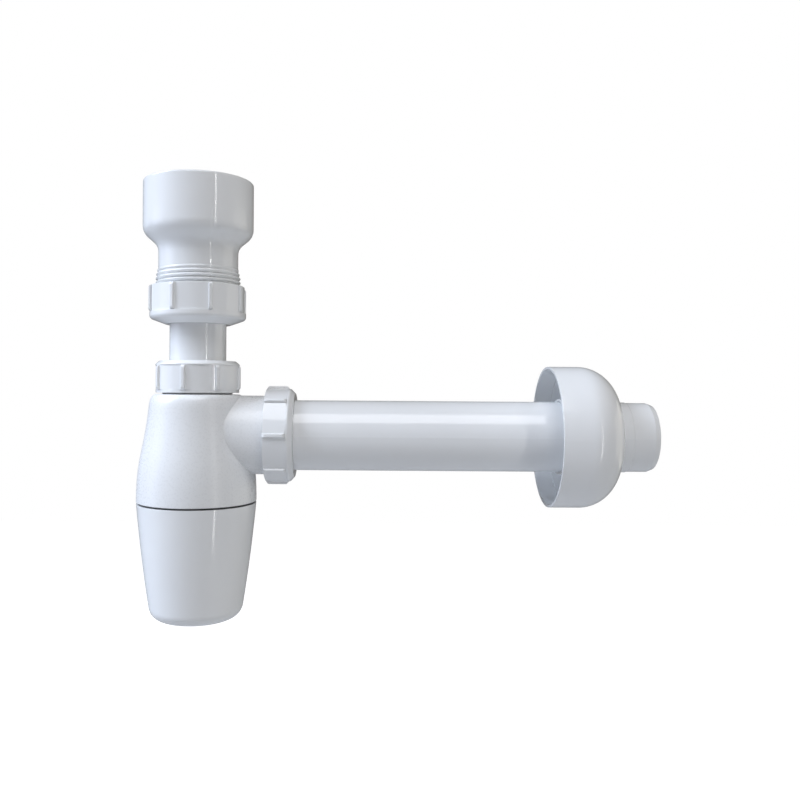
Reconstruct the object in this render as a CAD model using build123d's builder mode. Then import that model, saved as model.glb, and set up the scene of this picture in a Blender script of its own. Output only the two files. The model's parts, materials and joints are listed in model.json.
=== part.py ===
"""Urinal bottle trap in white plastic, in millimetres.

The origin is the centre of the inlet socket's mouth, +Z is up and +X is the way the water leaves.
From the top: a socket for the urinal's spigot, a dip tube held by two compression nuts, the trap
body with its screwed cup, and an outlet pipe that carries a wall flange.
"""

import os
from math import cos, radians, sin

from build123d import *

os.makedirs("parts", exist_ok=True)

# Tubes and threads, as nominal sizes

spigot_r = 25.0
inlet_tube_r = 16.0
outlet_pipe_r = 20.0
tube_wall = 1.8
large_thread_r = 23.9
large_thread_depth = 1.4
small_thread_r = 20.95
small_thread_depth = 1.2
cup_thread_depth = 1.0
cup_thread_length = 9.5

# Clearances

thread_clearance = 0.2
running_clearance = 0.05
tube_hole_clearance = 0.4
ring_clearance = 0.3

# Inlet socket

socket_r = 31.2
socket_wall = 2.5
socket_skirt_length = 25.5
socket_shoulder_length = 15.0
socket_neck_length = 33.5
socket_rim_round = 1.0
neck_wall = 3.0
stop_ledge_bore_r = 14.5
stop_ledge_height = 2.0
inlet_seal_length = 14.0
inlet_seal_lead = 0.4
inlet_seal_ledge = 1.0

# Cone seals and slip rings, the same pattern at all three tube joints

seal_head_height = 1.5
seal_head_margin = 0.6
seal_lip_length = 6.0
seal_lip_thickness = 0.9
seat_depth = 6.5
slip_ring_height = 1.2

# Grip of the nuts

rib_count = 8
rib_width = 2.2
rib_rise = 1.2
rib_edge_round = 0.5
face_bow = 1.3
nut_wall = 2.8
nut_end_round = 1.8
nut_lead = 0.8

upper_nut_open_length = 14.6
upper_nut_end_wall = 4.4
upper_nut_band_length = 6.6
upper_nut_band_rise = 0.3
upper_nut_nose_length = 3.2
upper_nut_nose_inset = 8.8
upper_nut_turn = 25.0

lower_nut_open_length = 13.5
lower_nut_end_wall = 1.8
lower_nut_band_length = 2.6
lower_nut_band_rise = -0.2
lower_nut_nose_length = 1.8
lower_nut_nose_inset = 2.2
lower_nut_lip_length = 1.6
lower_nut_lip_rise = -0.4
lower_nut_turn = 37.0

outlet_nut_open_length = 11.5
outlet_nut_end_wall = 2.0
outlet_nut_band_length = 3.6
outlet_nut_band_rise = -0.4
outlet_nut_nose_length = 2.4
outlet_nut_nose_inset = 2.6
outlet_nut_turn = -2.5

# Inlet tube

nut_gap = 20.9
tube_rise = 25.5
tube_dip = 115.5

# Trap body

body_wall = 2.3
body_top_r = 24.0
body_shoulder_r = 27.5
body_shoulder_drop = 9.0
body_middle_r = 31.0
body_middle_drop = 31.0
body_seam_r = 33.9
body_length = 60.9
body_to_nut_gap = 1.0
body_seam_round = 0.5
skirt_wall = 2.2
branch_drop = 23.0
branch_reach = 51.5
branch_stop_reach = 22.0
branch_stop_length = 2.5
branch_stop_height = 1.9
branch_collar_wall = 1.9
branch_tube_gap = 0.4
spigot_tube_gap = 1.0

# Cup and its seal

cup_seal_height = 1.0
cup_seal_inset = 1.0
cup_rim_setback = 0.1
cup_thread_setback = 2.7
cup_middle_inset = 2.5
cup_middle_drop = 24.5
cup_foot_inset = 8.3
cup_height = 65.6
cup_corner_round = 8.0
cup_wall = 2.3

# Outlet pipe and wall flange

pipe_length = 229.5
pipe_insertion = 21.5
pipe_end_chamfer_length = 3.0
pipe_end_chamfer_depth = 1.2
pipe_spigot_length = 15.0
pipe_spigot_relief = 0.3
flange_setback = 21.3
flange_r = 40.2
flange_depth = 37.5
flange_skirt_length = 16.5
flange_skirt_wall = 1.3
flange_dome_wall = 2.0
flange_step_setback = 6.5
flange_hole_clearance = 0.3
flange_collar_wall = 1.4
flange_collar_length = 31.0
flange_lip_width = 1.0

# Sizes, heights and reaches that follow

large_root_r = large_thread_r - large_thread_depth
small_root_r = small_thread_r - small_thread_depth
cup_thread_r = body_seam_r - cup_thread_setback
cup_thread_root_r = cup_thread_r - cup_thread_depth
neck_bore_r = large_root_r - neck_wall
spigot_bore_r = inlet_tube_r + spigot_tube_gap
branch_bore_r = outlet_pipe_r + branch_tube_gap
seal_stack = seal_head_height + slip_ring_height
upper_seat_z = -(socket_skirt_length + socket_shoulder_length + socket_neck_length)
lower_nut_top_z = upper_seat_z - seal_stack - upper_nut_end_wall - nut_gap
lower_seat_z = lower_nut_top_z - lower_nut_end_wall - seal_stack
body_top_z = lower_seat_z - lower_nut_open_length - body_to_nut_gap
seam_z = body_top_z - body_length
cup_rim_z = seam_z - cup_seal_height
cup_rim_r = body_seam_r - cup_rim_setback
cup_middle_r = cup_rim_r - cup_middle_inset
cup_foot_r = cup_rim_r - cup_foot_inset
branch_z = body_top_z - branch_drop
pipe_start_x = branch_reach - pipe_insertion
flange_mouth_x = pipe_start_x + pipe_length - flange_setback - flange_depth

# A plane on each seat, with its normal pointing off the male thread

upper_seat = Plane((0, 0, upper_seat_z), x_dir=(0, -1, 0), z_dir=(0, 0, -1))
lower_seat = Plane((0, 0, lower_seat_z), x_dir=(0, -1, 0), z_dir=(0, 0, 1))
outlet_seat = Plane((branch_reach, 0, branch_z), x_dir=(0, -1, 0), z_dir=(1, 0, 0))
branch_root = outlet_seat.offset(-branch_reach)
flange_mouth = branch_root.offset(flange_mouth_x)


def side_of(base):
    """The plane of a turned outline: x is the radius and y runs along the base's normal."""
    return Plane(base.origin, x_dir=base.x_dir, z_dir=-base.y_dir)


def axis_of(base):
    """The axis that an outline beside this base is turned about."""
    return Axis(base.origin, base.z_dir)


def nearest_corner(sketch, x, y):
    """The sketch's corner at a place, in its own coordinates."""
    return sketch.vertices().sort_by_distance((x, y, 0))[0]


def half_section(base, *corners, rounds=()):
    """A turned form's half section: corners as radius and height, and rounds as place and radius."""
    with BuildSketch(side_of(base)) as section:
        with BuildLine():
            Polyline(*corners, close=True)
        make_face()
        for x, y, radius in rounds:
            fillet(nearest_corner(section, x, y), radius)
    return section.sketch


def save(solid, name):
    """Label a finished piece and write it."""
    solid.label = name
    export_step(solid, f"parts/{name}.step")


def turned(base, *corners):
    """A plain turned piece from its half section."""
    with BuildPart() as piece:
        revolve(half_section(base, *corners), axis=axis_of(base))
    return piece.part


# Cone seals, slip rings and nuts


def head_r(root_r):
    """A seal's head covers the end of its thread up to a small margin."""
    return root_r - seal_head_margin


def seat_mouth_r(bore_r, root_r):
    """The conical seat opens to halfway between the bore and the seal's rim."""
    return (bore_r + head_r(root_r)) / 2


def cone_seal(base, tube_r, bore_r, root_r):
    """A tapered rubber ring: its lip fills the seat and its head lies on the thread's end."""
    inner_r = tube_r + running_clearance
    mouth_r = seat_mouth_r(bore_r, root_r)
    lip_share = seal_lip_length / seat_depth
    lip_r = mouth_r - (mouth_r - bore_r) * lip_share
    return turned(
        base,
        (inner_r, -seal_lip_length),
        (min(lip_r, inner_r + seal_lip_thickness), -seal_lip_length),
        (mouth_r, 0),
        (head_r(root_r), 0),
        (head_r(root_r), seal_head_height),
        (inner_r, seal_head_height),
    )


def slip_ring(base, tube_r, root_r):
    """A flat washer that lets the nut turn without dragging the seal."""
    inner_r = tube_r + ring_clearance
    outer_r = head_r(root_r)
    return turned(
        base,
        (inner_r, seal_head_height),
        (outer_r, seal_head_height),
        (outer_r, seal_stack),
        (inner_r, seal_stack),
    )


def crowned_octagon(corner_r):
    """The grip's outline between its ribs: sides that bow out a little."""
    step = 360 / rib_count
    corners = [
        (corner_r * cos(radians(step * turn)), corner_r * sin(radians(step * turn)))
        for turn in range(rib_count)
    ]
    with BuildSketch() as outline:
        with BuildLine():
            for start, end in zip(corners, corners[1:] + corners[:1]):
                SagittaArc(start, end, -face_bow)
        make_face()
    return outline.sketch


def compression_nut(base, thread_r, tube_r, turn, open_length, end_wall, band, nose, lip=(0, 0)):
    """A screwed nut with a rib on every corner of its grip, open towards the thread.

    band and lip are the smooth rings at its end and its mouth, each a length and a rise above
    the grip's corners. nose is how long and how deep the end's edge falls in.
    """
    bore_r = thread_r + thread_clearance
    hole_r = tube_r + tube_hole_clearance
    corner_r = bore_r + nut_wall
    rib_r = corner_r + rib_rise
    rib_depth = rib_rise + rib_width
    mouth = -open_length
    end = seal_stack + end_wall
    band_length, band_r = band[0], corner_r + band[1]
    lip_length, lip_r = lip[0], corner_r + lip[1]
    nose_length, nose_inset = nose
    nose_round = min(0.7 * nose_length, band_length - nose_length)
    grip_low = mouth + lip_length
    grip_high = end - band_length

    trim = half_section(
        base,
        (0, grip_low),
        (rib_r, grip_low),
        (rib_r, grip_high),
        (0, grip_high),
        rounds=[(rib_r, grip_low, nut_end_round), (rib_r, grip_high, nut_end_round)],
    )
    end_band = half_section(
        base,
        (0, grip_high),
        (band_r, grip_high),
        (band_r, end - nose_length),
        (band_r - nose_inset, end),
        (0, end),
        rounds=[(band_r, end - nose_length, nose_round)],
    )
    bore = half_section(
        base,
        (0, mouth),
        (bore_r + nut_lead, mouth),
        (bore_r, mouth + nut_lead),
        (bore_r, seal_stack),
        (hole_r, seal_stack),
        (hole_r, end),
        (0, end),
    )
    with BuildPart() as nut:
        with BuildSketch(base.rotated((0, 0, turn)).offset(grip_low)):
            add(crowned_octagon(corner_r))
            with PolarLocations(rib_r - rib_depth / 2, rib_count):
                RectangleRounded(rib_depth, rib_width, rib_edge_round)
        extrude(amount=grip_high - grip_low)
        revolve(trim, axis=axis_of(base), mode=Mode.INTERSECT)
        revolve(end_band, axis=axis_of(base))
        if lip_length:
            with BuildSketch(base.offset(mouth)):
                Circle(lip_r)
            extrude(amount=lip_length)
        revolve(bore, axis=axis_of(base), mode=Mode.SUBTRACT)
    return nut.part


# The upper joint, between the socket and the dip tube

save(cone_seal(upper_seat, inlet_tube_r, neck_bore_r, large_root_r), "upper_seal")
save(slip_ring(upper_seat, inlet_tube_r, large_root_r), "upper_slip_ring")
upper_nut = compression_nut(
    upper_seat,
    large_thread_r,
    inlet_tube_r,
    upper_nut_turn,
    upper_nut_open_length,
    upper_nut_end_wall,
    band=(upper_nut_band_length, upper_nut_band_rise),
    nose=(upper_nut_nose_length, upper_nut_nose_inset),
)
save(upper_nut, "upper_nut")

# The lower joint, between the dip tube and the trap body

save(cone_seal(lower_seat, inlet_tube_r, spigot_bore_r, small_root_r), "lower_seal")
save(slip_ring(lower_seat, inlet_tube_r, small_root_r), "lower_slip_ring")
lower_nut = compression_nut(
    lower_seat,
    small_thread_r,
    inlet_tube_r,
    lower_nut_turn,
    lower_nut_open_length,
    lower_nut_end_wall,
    band=(lower_nut_band_length, lower_nut_band_rise),
    nose=(lower_nut_nose_length, lower_nut_nose_inset),
    lip=(lower_nut_lip_length, lower_nut_lip_rise),
)
save(lower_nut, "lower_nut")

# The outlet joint, between the trap body's branch and the outlet pipe

save(cone_seal(outlet_seat, outlet_pipe_r, branch_bore_r, large_root_r), "outlet_seal")
save(slip_ring(outlet_seat, outlet_pipe_r, large_root_r), "outlet_slip_ring")
outlet_nut = compression_nut(
    outlet_seat,
    large_thread_r,
    outlet_pipe_r,
    outlet_nut_turn,
    outlet_nut_open_length,
    outlet_nut_end_wall,
    band=(outlet_nut_band_length, outlet_nut_band_rise),
    nose=(outlet_nut_nose_length, outlet_nut_nose_inset),
)
save(outlet_nut, "outlet_nut")

# The inlet socket: a cup for the spigot, a curved shoulder and a threaded neck

socket_shoulder_z = -socket_skirt_length
neck_z = socket_shoulder_z - socket_shoulder_length
socket_bore_r = socket_r - socket_wall
ledge_z = neck_z + stop_ledge_height
seat_top_z = upper_seat_z + seat_depth

with BuildPart() as inlet_socket:
    with BuildSketch(Plane.XZ) as socket_outline:
        with BuildLine():
            Line((0, 0), (socket_r, 0))
            Line((socket_r, 0), (socket_r, socket_shoulder_z))
            Spline(
                (socket_r, socket_shoulder_z),
                (large_root_r, neck_z),
                tangents=[(0, -1), (0, -1)],
            )
            Line((large_root_r, neck_z), (large_root_r, upper_seat_z))
            Line((large_root_r, upper_seat_z), (0, upper_seat_z))
            Line((0, upper_seat_z), (0, 0))
        make_face()
        fillet(nearest_corner(socket_outline, socket_r, 0), socket_rim_round)
    revolve(axis=Axis.Z)
    with BuildSketch(Plane.XZ):
        with BuildLine():
            Polyline(
                (0, 0),
                (socket_bore_r, 0),
                (socket_bore_r, -inlet_seal_length),
                (socket_bore_r - inlet_seal_ledge, -inlet_seal_length),
                (socket_bore_r - inlet_seal_ledge, socket_shoulder_z),
                (neck_bore_r, ledge_z + stop_ledge_height),
                (neck_bore_r, ledge_z),
                (stop_ledge_bore_r, ledge_z),
                (stop_ledge_bore_r, neck_z),
                (neck_bore_r, neck_z),
                (neck_bore_r, seat_top_z),
                (seat_mouth_r(neck_bore_r, large_root_r), upper_seat_z),
                (0, upper_seat_z),
                close=True,
            )
        make_face()
    revolve(axis=Axis.Z, mode=Mode.SUBTRACT)
save(inlet_socket.part, "inlet_socket")

# The rubber ring that the urinal's spigot pushes into

inlet_seal = turned(
    Plane.XY,
    (spigot_r + inlet_seal_lead, 0),
    (socket_bore_r, 0),
    (socket_bore_r, -inlet_seal_length),
    (spigot_r, -inlet_seal_length),
    (spigot_r, -inlet_seal_lead),
)
save(inlet_seal, "inlet_seal")

# The dip tube

tube_top_z = upper_seat_z + tube_rise
tube_end_z = lower_seat_z - tube_dip
inlet_tube = turned(
    Plane.XY,
    (inlet_tube_r - tube_wall, tube_end_z),
    (inlet_tube_r, tube_end_z),
    (inlet_tube_r, tube_top_z),
    (inlet_tube_r - tube_wall, tube_top_z),
)
save(inlet_tube, "inlet_tube")

# The trap body: a bell with a threaded spigot above, a threaded skirt below and a branch

skirt_end_z = seam_z - cup_thread_length


def bell_curve(inset):
    """The bell's side from its top to the seam, moved in towards the axis."""
    Spline(
        (body_top_r - inset, body_top_z - inset),
        (body_shoulder_r - inset, body_top_z - body_shoulder_drop),
        (body_middle_r - inset, body_top_z - body_middle_drop),
        (body_seam_r - inset, seam_z),
        tangents=[(1, -0.5), (0, -1)],
    )


spigot_seat_bottom_z = lower_seat_z - seat_depth
spigot_hole = half_section(
    Plane.XY,
    (0, lower_seat_z),
    (seat_mouth_r(spigot_bore_r, small_root_r), lower_seat_z),
    (spigot_bore_r, spigot_seat_bottom_z),
    (spigot_bore_r, body_top_z - 2 * body_wall),
    (0, body_top_z - 2 * body_wall),
)
stop_end = branch_stop_reach + branch_stop_length
branch_socket = half_section(
    branch_root,
    (0, stop_end),
    (branch_bore_r, stop_end),
    (branch_bore_r, branch_reach - seat_depth),
    (seat_mouth_r(branch_bore_r, large_root_r), branch_reach),
    (0, branch_reach),
)

with BuildPart() as trap_body:
    with BuildSketch(Plane.XZ) as bell_outline:
        with BuildLine():
            Line((0, body_top_z), (body_top_r, body_top_z))
            bell_curve(0)
            Line((body_seam_r, seam_z), (0, seam_z))
            Line((0, seam_z), (0, body_top_z))
        make_face()
        fillet(nearest_corner(bell_outline, body_seam_r, seam_z), body_seam_round)
    revolve(axis=Axis.Z)
    with BuildSketch(Plane.XY.offset(body_top_z)):
        Circle(small_root_r)
    extrude(amount=lower_seat_z - body_top_z)
    with BuildSketch(Plane.XY.offset(skirt_end_z)):
        Circle(cup_thread_root_r)
    extrude(amount=cup_thread_length)
    with BuildSketch(branch_root):
        Circle(large_root_r)
    extrude(amount=branch_reach)
    with BuildSketch(Plane.XZ):
        with BuildLine():
            bell_curve(body_wall)
            Polyline(
                (body_seam_r - body_wall, seam_z),
                (body_seam_r - body_wall, skirt_end_z),
                (0, skirt_end_z),
                (0, body_top_z - body_wall),
                (body_top_r - body_wall, body_top_z - body_wall),
            )
        make_face()
        with Locations((0, skirt_end_z)):
            Rectangle(
                cup_thread_root_r - skirt_wall,
                body_length + cup_thread_length,
                align=(Align.MIN, Align.MIN),
                mode=Mode.INTERSECT,
            )
    revolve(axis=Axis.Z, mode=Mode.SUBTRACT)
    with BuildSketch(branch_root.offset(branch_stop_reach)):
        Circle(branch_bore_r + branch_collar_wall)
    extrude(amount=body_seam_r - branch_stop_reach)
    with BuildSketch(branch_root):
        Circle(branch_bore_r - branch_stop_height)
    extrude(amount=branch_reach, mode=Mode.SUBTRACT)
    revolve(branch_socket, axis=axis_of(branch_root), mode=Mode.SUBTRACT)
    revolve(spigot_hole, axis=Axis.Z, mode=Mode.SUBTRACT)
save(trap_body.part, "trap_body")

# The rubber ring in the seam and the cup that screws up against it

cup_seal = turned(
    Plane.XY.offset(cup_rim_z),
    (cup_thread_root_r + thread_clearance, 0),
    (cup_rim_r - cup_seal_inset, 0),
    (cup_rim_r - cup_seal_inset, cup_seal_height),
    (cup_thread_root_r + thread_clearance, cup_seal_height),
)
save(cup_seal, "cup_seal")

cup_bottom_z = cup_rim_z - cup_height
cup_bore_r = cup_thread_r + thread_clearance
cup_bore_length = cup_thread_length + cup_seal_height


def cup_side(inset):
    """The cup's side from its rim to its foot, moved in towards the axis."""
    ThreePointArc(
        (cup_rim_r - inset, cup_rim_z),
        (cup_middle_r - inset, cup_rim_z - cup_middle_drop),
        (cup_foot_r - inset, cup_bottom_z),
    )


with BuildPart() as bottle_cup:
    with BuildSketch(Plane.XZ) as cup_outline:
        with BuildLine():
            cup_side(0)
            Polyline(
                (cup_foot_r, cup_bottom_z), (0, cup_bottom_z), (0, cup_rim_z), (cup_rim_r, cup_rim_z)
            )
        make_face()
        fillet(nearest_corner(cup_outline, cup_foot_r, cup_bottom_z), cup_corner_round)
    revolve(axis=Axis.Z)
    with BuildSketch(Plane.XZ) as cup_hollow:
        with BuildLine():
            cup_side(cup_wall)
            Polyline(
                (cup_foot_r - cup_wall, cup_bottom_z),
                (0, cup_bottom_z),
                (0, cup_rim_z),
                (cup_rim_r - cup_wall, cup_rim_z),
            )
        make_face()
        with Locations((0, cup_bottom_z)):
            Rectangle(2 * cup_rim_r, 2 * cup_wall, mode=Mode.SUBTRACT)
        fillet(
            cup_hollow.vertices().sort_by(Axis.Y)[:2].sort_by(Axis.X)[-1],
            cup_corner_round - cup_wall,
        )
        with Locations((0, cup_rim_z)):
            Rectangle(cup_bore_r, cup_bore_length, align=(Align.MIN, Align.MAX))
    revolve(axis=Axis.Z, mode=Mode.SUBTRACT)
save(bottle_cup.part, "bottle_cup")

# The outlet pipe, with a lead-in chamfer on the end that goes into the wall

pipe_bore_r = outlet_pipe_r - tube_wall
pipe_spigot_r = outlet_pipe_r - pipe_spigot_relief
spigot_start = pipe_length - pipe_spigot_length
chamfer_start = pipe_length - pipe_end_chamfer_length
outlet_pipe = turned(
    branch_root.offset(pipe_start_x),
    (pipe_bore_r, 0),
    (outlet_pipe_r, 0),
    (outlet_pipe_r, spigot_start),
    (pipe_spigot_r, spigot_start + pipe_spigot_relief),
    (pipe_spigot_r, chamfer_start),
    (pipe_spigot_r - pipe_end_chamfer_depth, pipe_length),
    (pipe_bore_r, pipe_length),
)
save(outlet_pipe, "outlet_pipe")

# The wall flange: a thin skirt, a domed back and a collar that guides it along the pipe

flange_hole_r = outlet_pipe_r + flange_hole_clearance
collar_r = flange_hole_r + flange_collar_wall
flange_lip_r = flange_hole_r + flange_lip_width
skirt_inner_r = flange_r - flange_skirt_wall
dome_inner_r = flange_r - flange_dome_wall
step_depth = flange_skirt_length - flange_step_setback
collar_start = flange_depth - flange_collar_length

with BuildPart() as wall_flange:
    with BuildSketch(side_of(flange_mouth)):
        with BuildLine():
            Line((flange_hole_r, flange_depth), (flange_lip_r, flange_depth))
            TangentArc(
                (flange_r, flange_skirt_length), (flange_lip_r, flange_depth), tangent=(0, 1)
            )
            Polyline(
                (flange_r, flange_skirt_length),
                (flange_r, 0),
                (skirt_inner_r, 0),
                (skirt_inner_r, step_depth),
                (dome_inner_r, step_depth),
                (dome_inner_r, flange_skirt_length),
            )
            TangentArc(
                (dome_inner_r, flange_skirt_length),
                (collar_r, flange_depth - flange_dome_wall),
                tangent=(0, 1),
            )
            Polyline(
                (collar_r, flange_depth - flange_dome_wall),
                (collar_r, collar_start),
                (flange_hole_r, collar_start),
                (flange_hole_r, flange_depth),
            )
        make_face()
    revolve(axis=axis_of(flange_mouth))
save(wall_flange.part, "wall_flange")
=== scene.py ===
"""The look of the urinal trap: moulded white plastic, screw threads, camera, light and floor.

Lengths are in metres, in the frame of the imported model.
"""

import json
from math import asin, atan2, cos, hypot, pi, radians, sin, sqrt

import bpy
from mathutils import Euler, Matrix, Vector


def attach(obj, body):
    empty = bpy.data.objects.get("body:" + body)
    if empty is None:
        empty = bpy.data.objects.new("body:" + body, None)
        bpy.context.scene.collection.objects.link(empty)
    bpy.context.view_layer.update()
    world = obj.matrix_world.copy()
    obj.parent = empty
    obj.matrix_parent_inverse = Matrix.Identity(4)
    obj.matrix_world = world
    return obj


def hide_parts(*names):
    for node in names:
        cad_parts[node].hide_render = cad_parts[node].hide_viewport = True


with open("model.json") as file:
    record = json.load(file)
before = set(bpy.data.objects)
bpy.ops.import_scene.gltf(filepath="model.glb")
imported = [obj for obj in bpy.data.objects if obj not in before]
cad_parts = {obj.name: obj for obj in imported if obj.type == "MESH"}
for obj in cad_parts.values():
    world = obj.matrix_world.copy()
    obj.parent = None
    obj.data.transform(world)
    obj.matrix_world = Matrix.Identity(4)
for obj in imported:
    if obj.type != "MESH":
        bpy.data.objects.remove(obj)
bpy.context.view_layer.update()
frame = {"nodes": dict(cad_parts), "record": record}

MM = 0.001

# Camera, in the photograph's viewing angle

CAMERA_PLACE = (0.0930, -0.4597, -0.1173)
CAMERA_ROLL = radians(-0.39)
CAMERA_LENS = 36.0
CAMERA_SHIFT = (0.0504, -0.0137)

# Pitches of the screw threads, and how far a ridge sinks into its cylinder, in millimetres

PIPE_PITCH = 2.309
CUP_PITCH = 3.0
ROOT_OVERLAP = 0.15


def rgb(value, cool=0.0):
    """A near-white colour: a grey with a little blue in it."""
    return (value - cool, value, min(1.0, value + cool), 1.0)


# Materials


def new_material(name):
    """An empty node material with its shader and output."""
    material = bpy.data.materials.new(name)
    material.use_nodes = True
    tree = material.node_tree
    tree.nodes.clear()
    output = tree.nodes.new("ShaderNodeOutputMaterial")
    shader = tree.nodes.new("ShaderNodeBsdfPrincipled")
    tree.links.new(shader.outputs["BSDF"], output.inputs["Surface"])
    return material, tree, shader


def noise(tree, scale, detail=2.0, roughness=0.5, stretch=(1.0, 1.0, 1.0)):
    """Noise that is fixed to the object, with its own stretch along each axis."""
    place = tree.nodes.new("ShaderNodeTexCoord")
    mapping = tree.nodes.new("ShaderNodeMapping")
    mapping.inputs["Scale"].default_value = stretch
    texture = tree.nodes.new("ShaderNodeTexNoise")
    texture.inputs["Scale"].default_value = scale
    texture.inputs["Detail"].default_value = detail
    texture.inputs["Roughness"].default_value = roughness
    tree.links.new(place.outputs["Object"], mapping.inputs["Vector"])
    tree.links.new(mapping.outputs["Vector"], texture.inputs["Vector"])
    return texture.outputs["Fac"]


def spread(tree, value, low, high):
    """The middle of a noise value spread out to a range."""
    node = tree.nodes.new("ShaderNodeMapRange")
    node.inputs["From Min"].default_value = 0.3
    node.inputs["From Max"].default_value = 0.7
    node.inputs["To Min"].default_value = low
    node.inputs["To Max"].default_value = high
    tree.links.new(value, node.inputs["Value"])
    return node.outputs["Result"]


def tint(tree, value, low, high):
    """A colour that varies between two tints with a noise value."""
    node = tree.nodes.new("ShaderNodeValToRGB")
    node.color_ramp.elements[0].position = 0.3
    node.color_ramp.elements[0].color = low
    node.color_ramp.elements[1].position = 0.7
    node.color_ramp.elements[1].color = high
    tree.links.new(value, node.inputs["Fac"])
    return node.outputs["Color"]


def bump(tree, shader, layers, edge):
    """Moulded relief: layers of noise as (height value, distance), over softened edges."""
    soft = tree.nodes.new("ShaderNodeBevel")
    soft.samples = 4
    soft.inputs["Radius"].default_value = edge
    normal = soft.outputs["Normal"]
    for height, distance in layers:
        node = tree.nodes.new("ShaderNodeBump")
        node.inputs["Strength"].default_value = 1.0
        node.inputs["Distance"].default_value = distance
        tree.links.new(height, node.inputs["Height"])
        tree.links.new(normal, node.inputs["Normal"])
        normal = node.outputs["Normal"]
    tree.links.new(normal, shader.inputs["Normal"])


def moulded_plastic(name, value, cool, roughness, waviness, grain, edge=0.4 * MM):
    """White polypropylene, with faint flow marks in its colour, gloss and surface."""
    material, tree, shader = new_material(name)
    flow = noise(tree, 38.0, detail=3.0, stretch=(1.0, 1.0, 0.45))
    fine = noise(tree, 900.0, detail=4.0, roughness=0.6)
    wave = noise(tree, 55.0, detail=1.0)
    shader.inputs["Specular IOR Level"].default_value = 0.5
    shader.inputs["IOR"].default_value = 1.49
    shader.inputs["Subsurface Weight"].default_value = 0.08
    shader.inputs["Subsurface Radius"].default_value = (1.0, 0.95, 0.9)
    shader.inputs["Subsurface Scale"].default_value = 1.2 * MM
    tree.links.new(
        tint(tree, flow, rgb(value - 0.012, cool), rgb(value + 0.012, cool)),
        shader.inputs["Base Color"],
    )
    tree.links.new(
        spread(tree, fine, roughness * 0.9, roughness * 1.12), shader.inputs["Roughness"]
    )
    bump(tree, shader, [(wave, waviness), (fine, grain)], edge)
    return material


def rubber(name, value, roughness):
    """Soft rubber with a fine, dull grain."""
    material, tree, shader = new_material(name)
    fine = noise(tree, 1400.0, detail=4.0, roughness=0.65)
    shader.inputs["Specular IOR Level"].default_value = 0.35
    tree.links.new(
        tint(tree, fine, rgb(value * 0.9), rgb(value * 1.05)), shader.inputs["Base Color"]
    )
    tree.links.new(
        spread(tree, fine, roughness - 0.06, roughness + 0.06), shader.inputs["Roughness"]
    )
    bump(tree, shader, [(fine, 0.03 * MM)], 0.2 * MM)
    return material


gloss = moulded_plastic("gloss_white", 0.86, 0.014, 0.09, 0.04 * MM, 0.001 * MM)
satin = moulded_plastic("satin_white", 0.85, 0.014, 0.28, 0.07 * MM, 0.008 * MM)
pale_rubber = rubber("soft_white", 0.62, 0.62)
# dark_rubber is the seal seen in the seam gap between cup and trap; its near-black colour is
# painted shade, standing for the shadow in that narrow gap
dark_rubber = rubber("dark_rubber", 0.07, 0.7)
finishes = {
    "gloss_white": gloss,
    "satin_white": satin,
    "soft_white": pale_rubber,
    "dark_rubber": dark_rubber,
}
for subpart in frame["record"]["subparts"]:
    mesh = frame["nodes"][subpart["node"]].data
    mesh.materials.clear()
    mesh.materials.append(finishes[subpart["material_slot"]])


def new_piece(name, points, faces, body, slot):
    """A mesh that rides on a body and takes a slot's finish."""
    mesh = bpy.data.meshes.new(name)
    mesh.from_pydata(points, [], faces)
    mesh.validate()
    mesh.materials.append(finishes[slot])
    piece = bpy.data.objects.new(name, mesh)
    bpy.context.scene.collection.objects.link(piece)
    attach(piece, body)
    return piece


# Screw threads: one ridge that runs round its cylinder and fades in and out at its ends

LARGE_ROOT_R, LARGE_CREST_R = 22.5, 23.9
SMALL_ROOT_R, SMALL_CREST_R = 19.75, 20.95
SKIRT_ROOT_R, SKIRT_CREST_R = 30.2, 31.2
STACK_AXIS = (0, 0, 0)
PIPE_AXIS = (0, 0, -144.0)

def thread_point(axis, centre, angle, along, radius):
    """A point at an angle round an axis, which is X or Z, and a distance along it."""
    across = radius * cos(angle), radius * sin(angle)
    if axis == "Z":
        place = (centre[0] + across[0], centre[1] + across[1], centre[2] + along)
    else:
        place = (centre[0] + along, centre[1] + across[0], centre[2] + across[1])
    return Vector(place) * MM


def thread(name, axis, centre, start, length, root_r, crest_r, pitch, body, slot, runout=0.33):
    """A male thread's ridge. start is where it begins along the axis, in millimetres from centre.

    It reaches its full height within a third of a turn, and dies out over runout turns.
    """
    steps = 72
    turns = (length - pitch) / pitch
    count = int(turns * steps)
    fade_in = steps // 3
    fade_out = int(steps * runout)
    section = [(-0.49, 0.0), (-0.20, 0.82), (-0.08, 1.0), (0.08, 1.0), (0.20, 0.82), (0.49, 0.0)]
    inner_r = root_r - ROOT_OVERLAP
    points, faces = [], []
    for step in range(count + 1):
        angle = 2 * pi * step / steps
        middle = start + pitch / 2 + pitch * step / steps
        share = min(1.0, step / fade_in, (count - step) / fade_out)
        rise = (crest_r - root_r + ROOT_OVERLAP) * share
        for offset, height in section:
            radius = inner_r + rise * height
            points.append(thread_point(axis, centre, angle, middle + offset * pitch, radius))
    size = len(section)
    for step in range(count):
        low, high = step * size, (step + 1) * size
        for side in range(size):
            after = (side + 1) % size
            faces.append((low + side, low + after, high + after, high + side))
    faces.append(tuple(range(size)))
    faces.append(tuple(reversed(range(count * size, (count + 1) * size))))
    new_piece(name, points, faces, body, slot)


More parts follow.
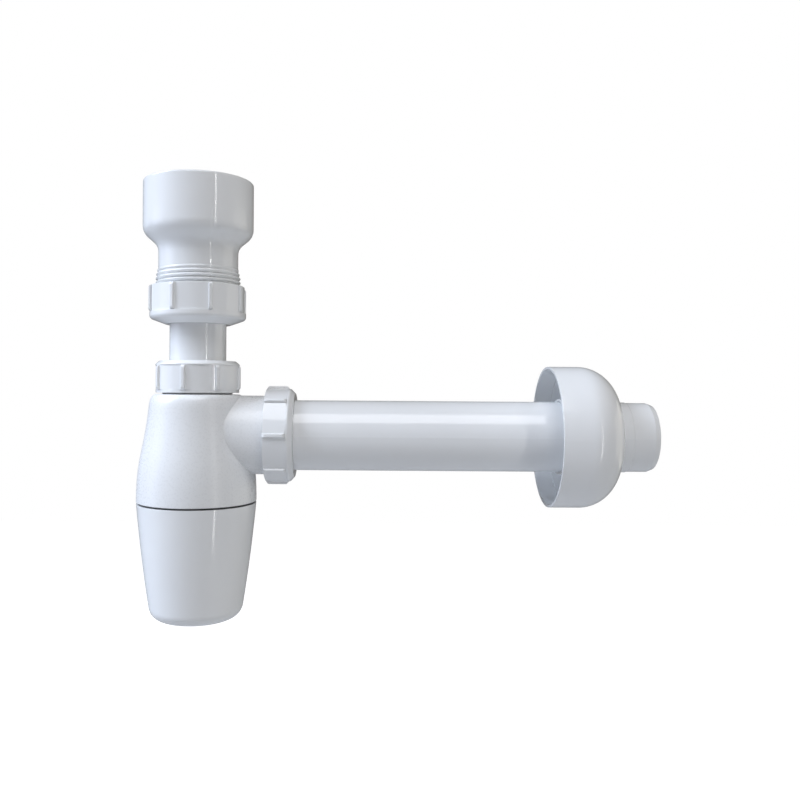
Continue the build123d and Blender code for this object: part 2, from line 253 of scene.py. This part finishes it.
thread(
    "neck_thread",
    "Z",
    STACK_AXIS,
    -74.0,
    27.5,
    LARGE_ROOT_R,
    LARGE_CREST_R,
    PIPE_PITCH,
    "socket",
    "gloss_white",
    runout=3.0,
)
thread(
    "spigot_thread",
    "Z",
    STACK_AXIS,
    -120.5,
    14.0,
    SMALL_ROOT_R,
    SMALL_CREST_R,
    PIPE_PITCH,
    "trap",
    "satin_white",
)
thread(
    "branch_thread",
    "X",
    PIPE_AXIS,
    40.3,
    11.2,
    LARGE_ROOT_R,
    LARGE_CREST_R,
    PIPE_PITCH,
    "trap",
    "satin_white",
)
thread(
    "skirt_thread",
    "Z",
    STACK_AXIS,
    -191.4,
    8.0,
    SKIRT_ROOT_R,
    SKIRT_CREST_R,
    CUP_PITCH,
    "trap",
    "satin_white",
)


# The outlet nut, about the pipe's axis: ribs on an eight-sided grip, a band and a sloping end.
# It replaces its node because the node's grip leans by NUT_TURN about Z and leaves a slit.

NUT_SIDES = 8
NUT_CORNER_R = 26.9
NUT_FACE_BOW = 1.3
NUT_RIB_R = 28.1
NUT_RIB_HALF = 1.1
NUT_RIB_ROUND = 0.5
NUT_TURN = -2.5
NUT_MOUTH_X, NUT_GRIP_END_X, NUT_END_X = 40.0, 52.6, 56.2
NUT_END_ROUND = 1.8
NUT_BAND_R, NUT_BAND_STEP = 26.5, 0.9
NUT_BAND_EDGE = [(53.3, 26.5), (53.7, 26.4), (54.1, 26.15), (54.4, 25.85)]
NUT_NOSE_R = 23.9
NUT_BORE_R, NUT_HOLE_R, NUT_SHELF_X = 24.1, 20.4, 54.2
NUT_LEAD = 0.8
NUT_SHARP_ANGLE = radians(35)


def face_radius(turn):
    """The bowed side of the grip, at an angle from the middle of the side."""
    flat = NUT_CORNER_R * cos(pi / NUT_SIDES)
    half = NUT_CORNER_R * sin(pi / NUT_SIDES)
    bow_r = (half**2 + NUT_FACE_BOW**2) / (2 * NUT_FACE_BOW)
    back = bow_r - flat - NUT_FACE_BOW
    return sqrt(bow_r**2 - (back * sin(turn)) ** 2) - back * cos(turn)


def grip_outline():
    """The grip's outline as angles and radii: a rib with rounded edges and a side, in turn."""
    foot = asin(NUT_RIB_HALF / NUT_CORNER_R)
    outline = []
    for side in range(NUT_SIDES):
        middle = 2 * pi * side / NUT_SIDES + radians(NUT_TURN)
        outline.append((middle - foot, face_radius(pi / NUT_SIDES - foot)))
        for part in range(9):
            across = NUT_RIB_HALF * (part - 4) / 4
            past = max(0.0, abs(across) - (NUT_RIB_HALF - NUT_RIB_ROUND))
            top = NUT_RIB_R - NUT_RIB_ROUND + sqrt(NUT_RIB_ROUND**2 - past**2)
            outline.append((middle + atan2(across, top), hypot(across, top)))
        outline.append((middle + foot, face_radius(pi / NUT_SIDES - foot)))
        for part in range(1, 12):
            turn = -pi / NUT_SIDES + foot + (2 * pi / NUT_SIDES - 2 * foot) * part / 12
            outline.append((middle + pi / NUT_SIDES + turn, face_radius(turn)))
    return outline


def nut_profile():
    """The nut's section as places along the pipe and radii. True: the outline trims it."""
    quarter = [pi / 2 * step / 6 for step in range(7)]
    inner = NUT_RIB_R - NUT_END_ROUND
    mouth = [
        (NUT_MOUTH_X + NUT_END_ROUND * (1 - sin(turn)), inner + NUT_END_ROUND * cos(turn), True)
        for turn in reversed(quarter)
    ]
    grip_end = [
        (NUT_GRIP_END_X - NUT_END_ROUND * (1 - sin(turn)), inner + NUT_END_ROUND * cos(turn), True)
        for turn in quarter
    ]
    band = [
        (NUT_GRIP_END_X, NUT_BAND_R - NUT_BAND_STEP, True),
        (NUT_GRIP_END_X, NUT_BAND_R, False),
        *((along, radius, False) for along, radius in NUT_BAND_EDGE),
        (NUT_END_X, NUT_NOSE_R, False),
    ]
    bore = [
        (NUT_END_X, NUT_HOLE_R, False),
        (NUT_SHELF_X, NUT_HOLE_R, False),
        (NUT_SHELF_X, NUT_BORE_R, False),
        (NUT_MOUTH_X + NUT_LEAD, NUT_BORE_R, False),
        (NUT_MOUTH_X, NUT_BORE_R + NUT_LEAD, False),
    ]
    return mouth + grip_end + band + bore


def make_outlet_nut():
    """The outlet nut as one closed form that stands for its node."""
    outline = grip_outline()
    profile = nut_profile()
    points = []
    for along, cap, trimmed in profile:
        for turn, side_r in outline:
            radius = min(cap, side_r) if trimmed else cap
            points.append(thread_point("X", PIPE_AXIS, turn, along, radius))
    size = len(outline)
    faces = []
    for ring in range(len(profile)):
        low, high = ring * size, (ring + 1) % len(profile) * size
        for side in range(size):
            after = (side + 1) % size
            faces.append((low + side, low + after, high + after, high + side))
    piece = new_piece("outlet_nut_full", points, faces, "outlet_union", "gloss_white")
    piece.data.shade_smooth()
    piece.data.set_sharp_from_angle(angle=NUT_SHARP_ANGLE)
    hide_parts("outlet_nut")


make_outlet_nut()


# Floor, light and camera

FLOOR_HEIGHT = -0.7
FLOOR_VALUE = 0.6
FLOOR_GLOW = 0.9
WORLD_FOR_CAMERA = 1.0
WORLD_LIGHT = 0.12

def pale_for_camera(tree, shader, glow_level):
    """The camera sees this surface with a white glow added, and still sees a shadow on it."""
    path = tree.nodes.new("ShaderNodeLightPath")
    glow = tree.nodes.new("ShaderNodeEmission")
    glow.inputs["Strength"].default_value = glow_level
    lifted = tree.nodes.new("ShaderNodeAddShader")
    tree.links.new(shader.outputs["BSDF"], lifted.inputs[0])
    tree.links.new(glow.outputs["Emission"], lifted.inputs[1])
    mix = tree.nodes.new("ShaderNodeMixShader")
    tree.links.new(path.outputs["Is Camera Ray"], mix.inputs["Fac"])
    tree.links.new(shader.outputs["BSDF"], mix.inputs[1])
    tree.links.new(lifted.outputs["Shader"], mix.inputs[2])
    output = next(node for node in tree.nodes if node.type == "OUTPUT_MATERIAL")
    tree.links.new(mix.outputs["Shader"], output.inputs["Surface"])


def make_floor(height, size=6.0):
    """A plain pale floor, well below the trap, which hangs at its urinal."""
    mesh = bpy.data.meshes.new("floor")
    half = size / 2
    corners = [(-half, -half), (half, -half), (half, half), (-half, half)]
    mesh.from_pydata([(x, y, height) for x, y in corners], [], [(0, 1, 2, 3)])
    floor = bpy.data.objects.new("floor", mesh)
    bpy.context.scene.collection.objects.link(floor)
    material, tree, shader = new_material("floor")
    shader.inputs["Base Color"].default_value = rgb(FLOOR_VALUE)
    shader.inputs["Roughness"].default_value = 0.8
    shader.inputs["Specular IOR Level"].default_value = 0.1
    pale_for_camera(tree, shader, FLOOR_GLOW)
    mesh.materials.append(material)


def make_world(camera_level, light_level):
    """A white backdrop for the camera and a dimmer, even light for the rest."""
    world = bpy.data.worlds.new("studio")
    bpy.context.scene.world = world
    world.use_nodes = True
    tree = world.node_tree
    tree.nodes.clear()
    output = tree.nodes.new("ShaderNodeOutputWorld")
    seen = tree.nodes.new("ShaderNodeBackground")
    seen.inputs["Color"].default_value = (1.0, 1.0, 1.0, 1.0)
    seen.inputs["Strength"].default_value = camera_level
    lit = tree.nodes.new("ShaderNodeBackground")
    lit.inputs["Color"].default_value = (1.0, 0.94, 0.86, 1.0)
    lit.inputs["Strength"].default_value = light_level
    path = tree.nodes.new("ShaderNodeLightPath")
    mix = tree.nodes.new("ShaderNodeMixShader")
    tree.links.new(path.outputs["Is Camera Ray"], mix.inputs["Fac"])
    tree.links.new(lit.outputs["Background"], mix.inputs[1])
    tree.links.new(seen.outputs["Background"], mix.inputs[2])
    tree.links.new(mix.outputs["Shader"], output.inputs["Surface"])


def softbox(name, place, target, width, height, power, colour=(1.0, 1.0, 1.0)):
    """A rectangular lamp that faces a point."""
    lamp = bpy.data.lights.new(name, "AREA")
    lamp.shape = "RECTANGLE"
    lamp.size = width
    lamp.size_y = height
    lamp.energy = power
    lamp.color = colour
    thing = bpy.data.objects.new(name, lamp)
    bpy.context.scene.collection.objects.link(thing)
    thing.location = place
    thing.rotation_euler = (Vector(target) - Vector(place)).to_track_quat("-Z", "Y").to_euler()
    return thing


def make_camera():
    """The camera looks level along +Y, with a small roll and shift."""
    camera = bpy.data.cameras.new("camera")
    camera.sensor_width = 36.0
    camera.lens = CAMERA_LENS
    camera.shift_x, camera.shift_y = CAMERA_SHIFT
    camera.clip_start = 0.01
    thing = bpy.data.objects.new("camera", camera)
    bpy.context.scene.collection.objects.link(thing)
    thing.location = CAMERA_PLACE
    thing.rotation_euler = Euler((radians(90), CAMERA_ROLL, 0.0), "XYZ")
    bpy.context.scene.camera = thing


make_floor(FLOOR_HEIGHT)
make_world(WORLD_FOR_CAMERA, WORLD_LIGHT)
middle = (0.05, 0.0, -0.14)
softbox("key", (-1.54, -0.28, 1.03), middle, 1.2, 1.2, 46.0, (0.76, 0.85, 1.0))
softbox("top", (0.10, -1.00, 1.60), middle, 1.2, 1.2, 19.0, (0.95, 0.96, 1.0))
softbox("side", (1.95, 0.56, -0.34), middle, 1.6, 1.6, 8.0, (1.0, 0.97, 0.88))
softbox("low_left", (-1.90, -0.30, -0.10), middle, 1.0, 1.0, 4.0, (0.78, 0.82, 1.0))
softbox("tall_strip", (0.86, -0.86, -0.15), (0.0, 0.0, -0.15), 0.018, 1.5, 2.2)
make_camera()
bpy.context.scene.view_settings.view_transform = "Standard"
